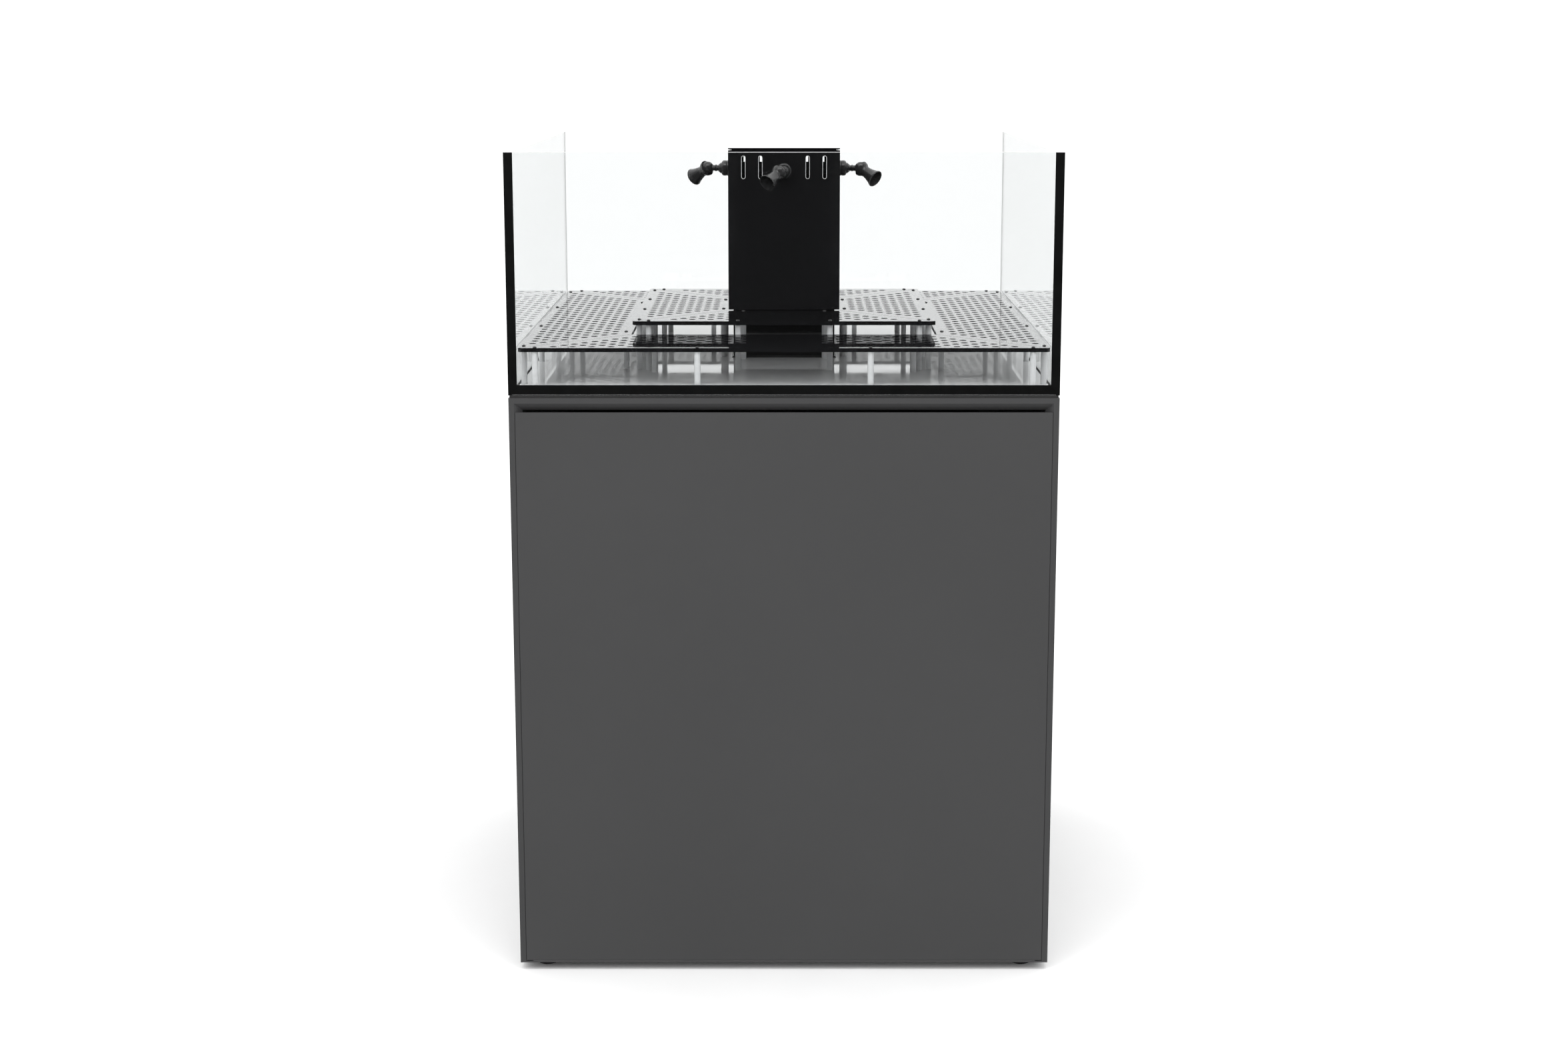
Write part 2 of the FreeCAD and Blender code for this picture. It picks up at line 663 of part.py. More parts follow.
def weir_cover():
    shell = square_tube(COVER_HALF, COVER_WALL, COVER_BOTTOM, COVER_TOP)
    post = box(COVER_BORE - POST, COVER_BORE, COVER_BORE - POST, COVER_BORE, WEIR_TOP, POST_TOP)
    cover = joined([shell] + [turned(post, i) for i in range(4)])
    cuts = []
    for x in (-SLOT_OUTER, -SLOT_INNER, SLOT_INNER, SLOT_OUTER):
        slot = slot_cutter(x)
        cuts += [slot, turned(slot, 1)]
    reach = COVER_HALF + OVERCUT
    hole = rod(SPIGOT_RADIUS + SPIGOT_FIT, Vector(0, -reach, NOZZLE_LEVEL), Vector(0, reach, NOZZLE_LEVEL))
    return cover.cut(cuts + [hole, turned(hole, 1)])


def weir_lid():
    plug_half = COVER_BORE - LID_CLEARANCE
    rest = COVER_TOP + LID_REVEAL
    plug = box(-plug_half, plug_half, -plug_half, plug_half, POST_TOP, rest)
    plate = box(-COVER_HALF, COVER_HALF, -COVER_HALF, COVER_HALF, rest, rest + LID_THICKNESS)
    return joined([plug, plate])


# ---------------------------------------------------------------- return nozzles
def spun(points):
    """A solid of revolution about the -Y axis from (distance out, radius) points."""
    outline = [Vector(radius, -out, 0) for out, radius in points]
    return face_of(outline).revolve(Vector(0, 0, 0), Vector(0, 1, 0), 360)


def ball(radius, out):
    return Part.makeSphere(radius, Vector(0, -out, 0))


def nozzle_socket():
    """Fixed ball socket on the tower's front face, with its spigot and nut inside the wall."""
    body = spun([(-SPIGOT_LENGTH, 0), (-SPIGOT_LENGTH, SPIGOT_RADIUS), (0, SPIGOT_RADIUS),
                 (0, SOCKET_RADIUS), (SOCKET_LENGTH - SOCKET_NOSE, SOCKET_RADIUS),
                 (SOCKET_LENGTH, SOCKET_RADIUS - SOCKET_NOSE_TAPER), (SOCKET_LENGTH, 0)])
    bore = rod(SPIGOT_BORE, Vector(0, SPIGOT_LENGTH, 0), Vector(0, -SOCKET_BALL_CENTRE, 0))
    socket = body.cut([ball(LINK_BALL + BALL_CLEARANCE, SOCKET_BALL_CENTRE), bore])
    nut_start = Vector(0, COVER_WALL, 0)
    nut_end = Vector(0, COVER_WALL + SPIGOT_NUT_LENGTH, 0)
    nut = ring(SPIGOT_NUT, SPIGOT_RADIUS, nut_start, nut_end)
    return joined([socket, nut])


def nozzle_link():
    """A ball at each end of a short hollow neck."""
    far = LINK_LENGTH
    neck = rod(LINK_NECK, Vector(0, 0, 0), Vector(0, -far, 0))
    solid = joined([ball(LINK_BALL, 0), ball(FLARE_BALL, far), neck])
    reach = far + FLARE_BALL + OVERCUT
    return solid.cut(rod(LINK_BORE, Vector(0, LINK_BALL + OVERCUT, 0), Vector(0, -reach, 0)))


def nozzle_flare():
    """A socket that snaps over the link's ball and opens into a round flared mouth."""
    cavity = FLARE_BALL + BALL_CLEARANCE
    shell = ball(cavity + FLARE_WALL, 0)
    reach = 2 * FLARE_LENGTH
    behind = box(-reach, reach, FLARE_BACK, reach, -reach, reach)
    shell = shell.cut(behind)
    swell_at = FLARE_WAIST_AT + FLARE_SWELL_LENGTH
    swell = FLARE_WAIST + FLARE_SWELL
    lip_at = FLARE_LENGTH - FLARE_LIP_LENGTH
    lip = FLARE_MOUTH - FLARE_LIP
    horn = spun([(0, 0), (0, FLARE_WAIST), (FLARE_WAIST_AT, FLARE_WAIST), (swell_at, swell),
                 (lip_at, lip), (FLARE_LENGTH, FLARE_MOUTH), (FLARE_LENGTH, 0)])
    throat = FLARE_WAIST - FLARE_THROAT_WALL
    mouth = FLARE_MOUTH - FLARE_SHELL
    end = FLARE_LENGTH + OVERCUT
    hollow = spun([(0, 0), (0, throat), (FLARE_WAIST_AT, throat), (swell_at, swell - FLARE_SWELL_WALL),
                   (lip_at, lip - FLARE_SHELL), (FLARE_LENGTH, mouth), (end, mouth), (end, 0)])
    return joined([shell, horn]).cut([ball(cavity, 0), hollow])


def yawed(shape, angle):
    copy = shape.copy()
    copy.rotate(Vector(0, 0, 0), UP, angle)
    return copy


def placed_link():
    link = yawed(nozzle_link(), -LINK_YAW)
    link.translate(Vector(0, -COVER_HALF - SOCKET_BALL_CENTRE, NOZZLE_LEVEL))
    return link


def placed_flare():
    flare = nozzle_flare()
    flare.rotate(Vector(0, 0, 0), Vector(1, 0, 0), FLARE_DROP)
    flare = yawed(flare, -FLARE_YAW)
    turn = math.radians(LINK_YAW)
    x = -LINK_LENGTH * math.sin(turn)
    y = -COVER_HALF - SOCKET_BALL_CENTRE - LINK_LENGTH * math.cos(turn)
    flare.translate(Vector(x, y, NOZZLE_LEVEL))
    return flare


# ---------------------------------------------------------------- plumbing
def bulkheads():
    """A flanged body through the base and its nut below, for each pipe."""
    solids = []
    flange_top = TANK_FLOOR + BULKHEAD_FLANGE_THICKNESS
    tail = TANK_BOTTOM - BULKHEAD_TAIL
    nut_low = TANK_BOTTOM - BULKHEAD_NUT_THICKNESS
    for x, y in bulkhead_centres():
        body = joined([
            rod(BULKHEAD_FLANGE, Vector(x, y, TANK_FLOOR), Vector(x, y, flange_top)),
            rod(BULKHEAD_RADIUS, Vector(x, y, tail), Vector(x, y, flange_top)),
        ])
        solids.append(body.cut(rod(PIPE_SOCKET, Vector(x, y, tail), Vector(x, y, flange_top))))
        solids.append(ring(BULKHEAD_NUT, BULKHEAD_RADIUS, Vector(x, y, nut_low), Vector(x, y, TANK_BOTTOM)))
    return Part.makeCompound(solids)


def return_manifold():
    """A riser with a hub that feeds the four nozzle spigots."""
    hub_low = NOZZLE_LEVEL - MANIFOLD_HUB
    hub_top = NOZZLE_LEVEL + MANIFOLD_HUB_ABOVE
    reach = COVER_HALF - SPIGOT_LENGTH
    low = TANK_BOTTOM + PIPE_END_GAP
    riser = rod(PIPE_RADIUS, Vector(0, 0, low), Vector(0, 0, hub_low))
    hub = rod(MANIFOLD_HUB, Vector(0, 0, hub_low), Vector(0, 0, hub_top))
    arm = rod(MANIFOLD_ARM, Vector(0, -reach, NOZZLE_LEVEL), Vector(0, reach, NOZZLE_LEVEL))
    solid = joined([riser, hub, arm, turned(arm, 1)])
    arm_bore = rod(MANIFOLD_ARM - PIPE_WALL, Vector(0, -reach, NOZZLE_LEVEL), Vector(0, reach, NOZZLE_LEVEL))
    riser_bore = rod(PIPE_BORE, Vector(0, 0, low), Vector(0, 0, NOZZLE_LEVEL))
    return solid.cut([arm_bore, turned(arm_bore, 1), riser_bore])


def standpipes():
    top = WEIR_TOP - STANDPIPE_BELOW_WEIR
    low = TANK_BOTTOM + PIPE_END_GAP
    return Part.makeCompound([
        ring(PIPE_RADIUS, PIPE_BORE, Vector(x, y, low), Vector(x, y, top)) for x, y in bulkhead_centres()[1:]
    ])


def main_drain_points():
    bend = TANK_BOTTOM - DRAIN_BEND_BELOW_TANK
    end = HOLDER_TOP - CUP_PIPE_DEPTH
    y = -DRAIN_OFFSET
    return [Vector(-DRAIN_OFFSET, y, TANK_BOTTOM - PIPE_END_GAP), Vector(-DRAIN_OFFSET, y, bend),
            Vector(DRAIN_X, y, bend), Vector(DRAIN_X, y, end)]


def return_points():
    bend = TANK_BOTTOM - RETURN_BEND_BELOW_TANK
    low = PUMP_LEVEL + VOLUTE_RADIUS + PUMP_OUTLET_RISE - PUMP_SOCKET_DEPTH
    return [Vector(PUMP_X, 0, low), Vector(PUMP_X, 0, bend),
            Vector(0, 0, bend), Vector(0, 0, TANK_BOTTOM - PIPE_END_GAP)]


def down_pipes():
    emergency_top = Vector(DRAIN_OFFSET, DRAIN_OFFSET, TANK_BOTTOM - PIPE_END_GAP)
    emergency_end = Vector(DRAIN_OFFSET, DRAIN_OFFSET, SUMP_FLOOR + BAFFLE_HEIGHT - PIPE_BELOW_WATER)
    return Part.makeCompound([
        pipe(main_drain_points()),
        pipe([emergency_top, emergency_end]),
        pipe(return_points()),
    ])


def pipe_elbows():
    elbows = []
    for run in (main_drain_points(), return_points()):
        elbows.append(elbow(run[0], run[1], run[2]))
        elbows.append(elbow(run[1], run[2], run[3]))
    return Part.makeCompound(elbows)


def valve_body():
    """Ball valve on the main drain, with a stem towards the door."""
    y = -DRAIN_OFFSET
    low = Vector(DRAIN_X, y, VALVE_LEVEL - VALVE_HALF_LENGTH)
    high = Vector(DRAIN_X, y, VALVE_LEVEL + VALVE_HALF_LENGTH)
    middle = rod(VALVE_RADIUS, low, high)
    unions = [
        rod(VALVE_UNION, low, low.add(Vector(0, 0, VALVE_UNION_LENGTH))),
        rod(VALVE_UNION, high.sub(Vector(0, 0, VALVE_UNION_LENGTH)), high),
    ]
    collar_end = y - VALVE_UNION - HANDLE_STANDOFF
    stem_end = collar_end - HANDLE_GAP - HANDLE_THICKNESS - STEM_PROUD
    stem = rod(STEM_RADIUS, Vector(DRAIN_X, y, VALVE_LEVEL), Vector(DRAIN_X, stem_end, VALVE_LEVEL))
    collar = rod(HANDLE_HUB, Vector(DRAIN_X, y, VALVE_LEVEL), Vector(DRAIN_X, collar_end, VALVE_LEVEL))
    return joined([middle, stem, collar] + unions).cut(rod(PIPE_SOCKET, low, high))


def valve_handle():
    start = -DRAIN_OFFSET - VALVE_UNION - HANDLE_STANDOFF - HANDLE_GAP
    end = start - HANDLE_THICKNESS
    hub = rod(HANDLE_HUB, Vector(DRAIN_X, start, VALVE_LEVEL), Vector(DRAIN_X, end, VALVE_LEVEL))
    half = HANDLE_WIDTH / 2
    lever = box(DRAIN_X - half, DRAIN_X + half, end, start,
                VALVE_LEVEL - HANDLE_LENGTH, VALVE_LEVEL + HANDLE_LENGTH)
    hole = rod(STEM_RADIUS + STEM_CLEARANCE,
               Vector(DRAIN_X, start, VALVE_LEVEL), Vector(DRAIN_X, end, VALVE_LEVEL))
    return joined([hub, lever]).cut(hole)


# ---------------------------------------------------------------- sump
def sump_glass():
    x = SUMP_WIDTH / 2
    y = SUMP_DEPTH / 2
    front = SUMP_BACKSET - y
    back = SUMP_BACKSET + y
    inner_x = x - SUMP_GLASS
    inner_front = front + SUMP_GLASS
    inner_back = back - SUMP_GLASS
    shell = box(-x, x, front, back, BAY_FLOOR, SUMP_TOP)
    hollow = box(-inner_x, inner_x, inner_front, inner_back, SUMP_FLOOR, SUMP_TOP)
    baffle_top = SUMP_FLOOR + BAFFLE_HEIGHT
    baffles = []
    for start in (-BAFFLE_OFFSET - SUMP_GLASS, BAFFLE_OFFSET):
        baffles.append(box(start, start + SUMP_GLASS, inner_front, inner_back, SUMP_FLOOR, baffle_top))
    return joined([shell.cut(hollow)] + baffles)


def cup_holder():
    x = SUMP_WIDTH / 2
    y = SUMP_DEPTH / 2
    plate = box(-x, -BAFFLE_OFFSET, SUMP_BACKSET - y, SUMP_BACKSET + y, SUMP_TOP, HOLDER_TOP)
    hole = rod(CUP_BODY_RADIUS + CUP_CLEARANCE, Vector(DRAIN_X, -DRAIN_OFFSET, SUMP_TOP),
               Vector(DRAIN_X, -DRAIN_OFFSET, HOLDER_TOP))
    return plate.cut(hole)


def filter_cup():
    y = -DRAIN_OFFSET
    rim = Vector(DRAIN_X, y, HOLDER_TOP)
    rim_top = Vector(DRAIN_X, y, HOLDER_TOP + CUP_RIM_THICKNESS)
    low = Vector(DRAIN_X, y, HOLDER_TOP - CUP_BODY_HEIGHT)
    floor = Vector(DRAIN_X, y, HOLDER_TOP - CUP_BODY_HEIGHT + CUP_BODY_WALL)
    body = joined([rod(CUP_RIM_RADIUS, rim, rim_top), rod(CUP_BODY_RADIUS, low, rim_top)])
    return body.cut(rod(CUP_BODY_RADIUS - CUP_BODY_WALL, floor, rim_top))


def return_pump():
    """Volute facing the door, motor behind it, outlet pointing up."""
    centre = Vector(PUMP_X, 0, PUMP_LEVEL)
    face = centre.add(Vector(0, -VOLUTE_HALF_WIDTH, 0))
    motor_end = VOLUTE_HALF_WIDTH + PUMP_LENGTH
    volute = rod(VOLUTE_RADIUS, face, centre.add(Vector(0, VOLUTE_HALF_WIDTH, 0)))
    motor = rod(PUMP_RADIUS, centre, centre.add(Vector(0, motor_end, 0)))
    intake_start = face.add(Vector(0, -PUMP_INTAKE_LENGTH, 0))
    intake = rod(PUMP_OUTLET, intake_start, face.add(Vector(0, PUMP_SHELL / 2, 0)))
    base = box(PUMP_X - VOLUTE_RADIUS, PUMP_X + VOLUTE_RADIUS, -VOLUTE_HALF_WIDTH, motor_end,
               SUMP_FLOOR, SUMP_FLOOR + PUMP_FOOT + PUMP_OVERLAP)
    saddle = box(PUMP_X - PUMP_RADIUS / 2, PUMP_X + PUMP_RADIUS / 2,
                 VOLUTE_HALF_WIDTH + PUMP_SADDLE_INSET, motor_end - PUMP_SADDLE_INSET,
                 SUMP_FLOOR + PUMP_OVERLAP, PUMP_LEVEL - PUMP_RADIUS / 2)
    outlet_top = Vector(PUMP_X, 0, PUMP_LEVEL + VOLUTE_RADIUS + PUMP_OUTLET_RISE)
    outlet = rod(PUMP_OUTLET, Vector(PUMP_X, 0, PUMP_LEVEL + PUMP_RADIUS), outlet_top)
    solid = joined([volute, motor, intake, base, saddle, outlet])
    cavity = rod(VOLUTE_RADIUS - PUMP_SHELL, face.add(Vector(0, PUMP_SHELL, 0)), centre)
    bore_end = face.add(Vector(0, PUMP_SHELL + OVERCUT, 0))
    intake_bore = rod(PUMP_OUTLET - PUMP_SHELL / 2, intake_start, bore_end)
    socket_low = outlet_top.sub(Vector(0, 0, PUMP_SOCKET_DEPTH))
    return solid.cut([cavity, intake_bore, rod(PIPE_SOCKET, socket_low, outlet_top)])


# ---------------------------------------------------------------- assembly
def save_cabinet():
    save("side_panel_left", side_panel())
    save("side_panel_right", mirrored_x(side_panel()))
    save("top_panel", top_panel())
    save("bottom_panel", bottom_panel())
    save("back_panel", back_panel())
    save("hinge_arms", hinge_arms())
    save("door_catch", door_catch())
    save("door_panel", door_panel())
    save("hinge_cups", hinge_cups())
    save("door_strike", door_strike())
    save("levelling_mat", levelling_mat())
    for name, (x, y) in foot_centres().items():
        save("foot_" + name, levelling_foot(x, y))


def save_tank():
    save("tank_base_glass", base_pane())
    save("tank_front_glass", end_pane())
    save("tank_back_glass", turned(end_pane(), 2))
    save("tank_left_glass", left_pane())
    save("tank_right_glass", mirrored_x(left_pane()))
    save("silicone_seams", silicone_seams())


def save_rack_ring(name, outer, inner, first_column, level, places):
    """Four mitred sections; the left and right ones swap the ring's two half sizes."""
    for quarter, side in enumerate(("front", "right", "back", "left")):
        turned_outer = outer[::-1] if quarter % 2 else outer
        turned_inner = inner[::-1] if quarter % 2 else inner
        plate = rack_plate(turned_outer, turned_inner, first_column, level)
        legs = rack_legs(places(turned_outer, turned_inner), level)
        save(name + "_rack_" + side, turned(plate, quarter))
        save(name + "_rack_" + side + "_legs", Part.makeCompound([turned(leg, quarter) for leg in legs]))


def save_racks():
    save_rack_ring("lower", LOWER_OUTER, LOWER_INNER, LOWER_FIRST_COLUMN, LOWER_PLATE, lower_leg_places)
    save_rack_ring("upper", UPPER_OUTER, UPPER_INNER, UPPER_FIRST_COLUMN, UPPER_PLATE, upper_leg_places)


def save_tower():
    save("weir_box", weir_box())
    save("weir_cover", weir_cover())
    save("weir_lid", weir_lid())
    socket = nozzle_socket()
    socket.translate(Vector(0, -COVER_HALF, NOZZLE_LEVEL))
    save("nozzle_sockets", Part.makeCompound([turned(socket, i) for i in range(4)]))
    link = placed_link()
    flare = placed_flare()
    for quarter, side in enumerate(("front", "right", "back", "left")):
        save("nozzle_" + side + "_link", turned(link, quarter))
        save("nozzle_" + side + "_flare", turned(flare, quarter))


def save_plumbing():
    save("bulkheads", bulkheads())
    save("return_manifold", return_manifold())
    save("standpipes", standpipes())
    save("down_pipes", down_pipes())
    save("pipe_elbows", pipe_elbows())
    save("valve_body", valve_body())
    save("valve_handle", valve_handle())
    save("sump_glass", sump_glass())
    save("cup_holder", cup_holder())
    save("filter_cup", filter_cup())
    save("return_pump", return_pump())


os.makedirs("parts", exist_ok=True)
save_cabinet()
save_tank()
save_racks()
save_tower()
save_plumbing()

for node_name, node_shape in NODES.items():
    if not node_shape.isValid():
        print("not valid:", node_name)
print(len(NODES), "sub-parts written")
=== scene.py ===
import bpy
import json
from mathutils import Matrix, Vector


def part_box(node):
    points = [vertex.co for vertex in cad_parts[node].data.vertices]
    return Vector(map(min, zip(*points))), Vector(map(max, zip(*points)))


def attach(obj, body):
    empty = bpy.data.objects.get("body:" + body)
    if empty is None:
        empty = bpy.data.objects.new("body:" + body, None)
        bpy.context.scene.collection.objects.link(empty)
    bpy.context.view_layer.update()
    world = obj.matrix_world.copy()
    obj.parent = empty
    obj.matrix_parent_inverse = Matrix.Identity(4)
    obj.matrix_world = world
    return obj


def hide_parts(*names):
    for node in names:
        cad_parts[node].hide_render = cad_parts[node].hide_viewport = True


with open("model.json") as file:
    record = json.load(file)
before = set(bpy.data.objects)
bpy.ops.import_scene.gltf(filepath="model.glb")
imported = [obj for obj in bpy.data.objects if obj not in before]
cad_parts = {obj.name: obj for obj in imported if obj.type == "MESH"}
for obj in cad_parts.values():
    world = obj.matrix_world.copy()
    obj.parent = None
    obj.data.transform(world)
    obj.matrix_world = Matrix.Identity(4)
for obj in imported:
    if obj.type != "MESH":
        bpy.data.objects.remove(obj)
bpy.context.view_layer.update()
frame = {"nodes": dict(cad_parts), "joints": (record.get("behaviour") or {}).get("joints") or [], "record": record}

import json
import math

import bmesh
import bpy
from mathutils import Matrix, Vector

# Looks for a rimless aquarium on a cabinet stand. Metres, +Z up, front towards -Y.

ROOT = next(body for body, nodes in frame["record"]["behaviour"]["bodies"].items() if "top_panel" in nodes)
SIDES = ("front", "right", "back", "left")
JOINTS = {joint["name"]: joint for joint in frame["joints"]}
NODES = frame["nodes"]

# ---------------------------------------------------------------- sizes of the small pieces
MM = 0.001
WELD = 1e-5
SEGMENTS = 64

# Screws as (head radius, head height, socket size)
RACK_SCREW = (2.9 * MM, 1.5 * MM, 1.35 * MM)
BACK_SCREW = (3.2 * MM, 0.6 * MM, 1.4 * MM)
HINGE_PLATE_SCREW = (3.6 * MM, 1.4 * MM, 1.6 * MM)
HINGE_CUP_SCREW = (2.4 * MM, 0.9 * MM, 1.1 * MM)
SCREW_SIDES = 24
DOME_STEPS = 6
DOME_SHARE = 0.72
RECESS_FLOOR = 0.35
BACK_SCREW_MARGIN = 10 * MM
BACK_SCREWS_A_SIDE = 5
HINGE_PLATE = 3 * MM
HINGE_PLATE_SCREW_SPREAD = 16 * MM
HINGE_PLATE_SCREW_SETBACK = 12 * MM
HINGE_CUP_SCREW_MARGIN = 3.4 * MM
HINGE_CUP_SCREW_SETBACK = 10 * MM

# Slots of the tower's cover
SLOT_WIDTH = 6.0 * MM
SLOT_LENGTH = 35.6 * MM
SLOT_BELOW_TOP = 8.3 * MM
SLOT_INNER = 37.0 * MM
SLOT_OUTER = 63.5 * MM
SLOT_STEPS = 12
RIM_RADIUS = 0.35 * MM
RIM_SIDES = 8

# Nozzles: (distance along the axis, radius) in millimetres, the socket's from the tower's face
# and the others' from the centre of their ball
SOCKET = [(-13.0, 4.0), (-13.0, 8.0), (-9.0, 8.0), (-9.0, 12.0), (-5.0, 12.0), (-5.0, 8.0), (0, 8.0),
          (0, 12.2), (3.4, 12.25), (3.9, 11.7), (4.5, 11.7), (5.0, 12.25), (9.4, 12.2), (12.0, 10.2),
          (12.0, 8.95), (10.6, 9.28), (10.0, 9.3), (7.0, 8.8), (4.6, 7.5), (1.6, 4.0), (-13.0, 4.0)]
SOCKET_ROUNDING = 0.35 * MM
FACE_TO_BALL = 10 * MM
INNER_BALL = 9.0
OUTER_BALL = 10.0
FLARE_SHELL = 12.5
FLARE_CAVITY = 10.3
NECK = [(10.4, 4.5), (11.4, 5.3), (12.4, 5.3), (13.2, 4.5), (15.0, 4.5)]
BELL = [(10.6, 8.9), (12.0, 8.6), (14.0, 8.7), (17.0, 9.1), (21.0, 9.9), (25.0, 11.0), (29.0, 12.3),
        (31.6, 13.2), (32.6, 13.9), (33.4, 14.0), (34.0, 13.6), (34.0, 12.7)]
BORE = [(31.0, 11.9), (27.0, 10.5), (22.0, 8.9), (17.0, 7.6), (12.0, 6.9), (9.0, 6.3)]
FLARE_DROP = 28.0

# Feet and the tower's glue bead
FOOT_EDGE = 2 * MM
FOOT_ROUNDING = 0.8 * MM
FOOT_SEGMENTS = 72
FOOT_KNURL = 0.025
GLUE_BEAD = 3 * MM

# ---------------------------------------------------------------- studio
SURROUND = 1.2
# What polished surfaces mirror: UPWARD_SHARE * z + y + ROOM_OFFSET of a direction runs from the dark
# room, which ends at ROOM_ENDS, to the lit sweep, which starts at SWEEP_STARTS
MIRRORED = 1.5
ROOM = 0.02
UPWARD_SHARE = 0.55
ROOM_OFFSET = 0.5
ROOM_ENDS = 0.28
SWEEP_STARTS = 0.9
FLOOR_MIRRORED = 0.02
FLOOR_FADE = 0.6
FLOOR_HALF = 40.0
CAMERA_DISTANCE = 3.171
CAMERA_HEIGHT = 1.380
CAMERA_PITCH = 10.15
CAMERA_LENS = 50.8
CAMERA_SHIFT = -0.05
# name, place, target, size, power
LAMPS = [
    ("key", (-2.6, -3.0, 3.4), (0, 0, 0.7), (2.4, 2.4), 30),
    ("fill", (3.0, -2.4, 2.4), (0, 0, 0.7), (2.0, 2.0), 14),
    ("brow", (0, -1.7, 3.9), (0, -0.3, 0.9), (3.0, 1.2), 45),
]


# ---------------------------------------------------------------- material helpers
class Surface:
    """A node material around one Principled shader, with object coordinates in metres."""

    def __init__(self, name):
        self.material = bpy.data.materials.new(name)
        self.material.use_nodes = True
        self.tree = self.material.node_tree
        self.tree.nodes.clear()
        self.output = self.node("ShaderNodeOutputMaterial")
        self.shader = self.node("ShaderNodeBsdfPrincipled")
        self.coords = self.node("ShaderNodeTexCoord").outputs["Object"]
        self.link(self.shader.outputs[0], self.output.inputs["Surface"])

    def node(self, kind):
        return self.tree.nodes.new(kind)

    def link(self, source, target):
        self.tree.links.new(source, target)

    def set(self, **values):
        for name, value in values.items():
            self.shader.inputs[name.replace("_", " ")].default_value = value

    def noise(self, scale, detail=3.0, roughness=0.5, stretch=(1, 1, 1)):
        mapping = self.node("ShaderNodeMapping")
        mapping.inputs["Scale"].default_value = stretch
        self.link(self.coords, mapping.inputs["Vector"])
        texture = self.node("ShaderNodeTexNoise")
        texture.inputs["Scale"].default_value = scale
        texture.inputs["Detail"].default_value = detail
        texture.inputs["Roughness"].default_value = roughness
        self.link(mapping.outputs[0], texture.inputs["Vector"])
        return texture.outputs[0]

    def ranged(self, source, low, high, start=0.3, end=0.7):
        mapped = self.node("ShaderNodeMapRange")
        mapped.inputs["From Min"].default_value = start
        mapped.inputs["From Max"].default_value = end
        mapped.inputs["To Min"].default_value = low
        mapped.inputs["To Max"].default_value = high
        self.link(source, mapped.inputs["Value"])
        return mapped.outputs[0]

    def colours(self, source, first, second):
        mix = self.node("ShaderNodeMix")
        mix.data_type = "RGBA"
        mix.inputs["A"].default_value = (*first, 1)
        mix.inputs["B"].default_value = (*second, 1)
        self.link(source, mix.inputs["Factor"])
        self.link(mix.outputs["Result"], self.shader.inputs["Base Color"])

    def roughness(self, source, low, high):
        self.link(self.ranged(source, low, high), self.shader.inputs["Roughness"])

    def bump(self, source, strength, distance):
        bump = self.node("ShaderNodeBump")
        bump.inputs["Strength"].default_value = strength
        bump.inputs["Distance"].default_value = distance
        self.link(source, bump.inputs["Height"])
        self.link(bump.outputs[0], self.shader.inputs["Normal"])


def shade(colour, factor):
    return tuple(channel * factor for channel in colour)


# ---------------------------------------------------------------- materials
def lacquer(name, colour):
    """Sprayed satin lacquer: a fine orange peel and a slow drift in tone."""
    surface = Surface(name)
    surface.colours(surface.noise(2.5), shade(colour, 0.93), shade(colour, 1.07))
    surface.roughness(surface.noise(35, 4), 0.34, 0.42)
    surface.bump(surface.noise(650, 2), 0.10, 0.0003)
    surface.set(IOR=1.5)
    return surface.material


def black_acrylic():
    """Polished cast acrylic with hairline wiping marks."""
    surface = Surface("black_acrylic")
    surface.colours(surface.noise(4), (0.0045, 0.0045, 0.005), (0.007, 0.007, 0.0075))
    surface.roughness(surface.noise(70, 6, 0.7, (1, 6, 1)), 0.015, 0.06)
    surface.bump(surface.noise(5, 1), 0.05, 0.001)
    surface.set(IOR=1.49)
    return surface.material


def clear_glass():
    """Low-iron glass: clear through its faces, faintly cyan along its length, and open to the lamps."""
    surface = Surface("clear_glass")
    surface.set(Transmission_Weight=1.0, IOR=1.5)
    surface.colours(surface.noise(3), (0.994, 0.998, 0.998), (1.0, 1.0, 1.0))
    surface.roughness(surface.noise(24, 4), 0.0, 0.012)
    clear = surface.node("ShaderNodeBsdfTransparent")
    path = surface.node("ShaderNodeLightPath")
    mix = surface.node("ShaderNodeMixShader")
    surface.link(path.outputs["Is Shadow Ray"], mix.inputs[0])
    surface.link(surface.shader.outputs[0], mix.inputs[1])
    surface.link(clear.outputs[0], mix.inputs[2])
    surface.link(mix.outputs[0], surface.output.inputs["Surface"])
    tint = surface.node("ShaderNodeVolumeAbsorption")
    tint.inputs["Color"].default_value = (0.50, 0.92, 0.93, 1)
    tint.inputs["Density"].default_value = 1.2
    surface.link(tint.outputs[0], surface.output.inputs["Volume"])
    return surface.material


def backed_glass():
    """The tank's floor: polished glass over its pale backing."""
    surface = Surface("backed_glass")
    surface.colours(surface.noise(9, 4), (0.86, 0.865, 0.87), (0.92, 0.925, 0.93))
    surface.roughness(surface.noise(40, 5), 0.02, 0.06)
    surface.bump(surface.noise(3, 1), 0.05, 0.0005)
    surface.set(IOR=1.5)
    return surface.material


def moulded(name, colour, rough=(0.34, 0.46), grain=420.0, depth=0.12):
    """Injection-moulded plastic with a fine spark-eroded grain."""
    surface = Surface(name)
    surface.colours(surface.noise(20), shade(colour, 0.9), shade(colour, 1.1))
    surface.roughness(surface.noise(90, 5), *rough)
    surface.bump(surface.noise(grain * 4, 2), depth, 0.0002)
    return surface.material


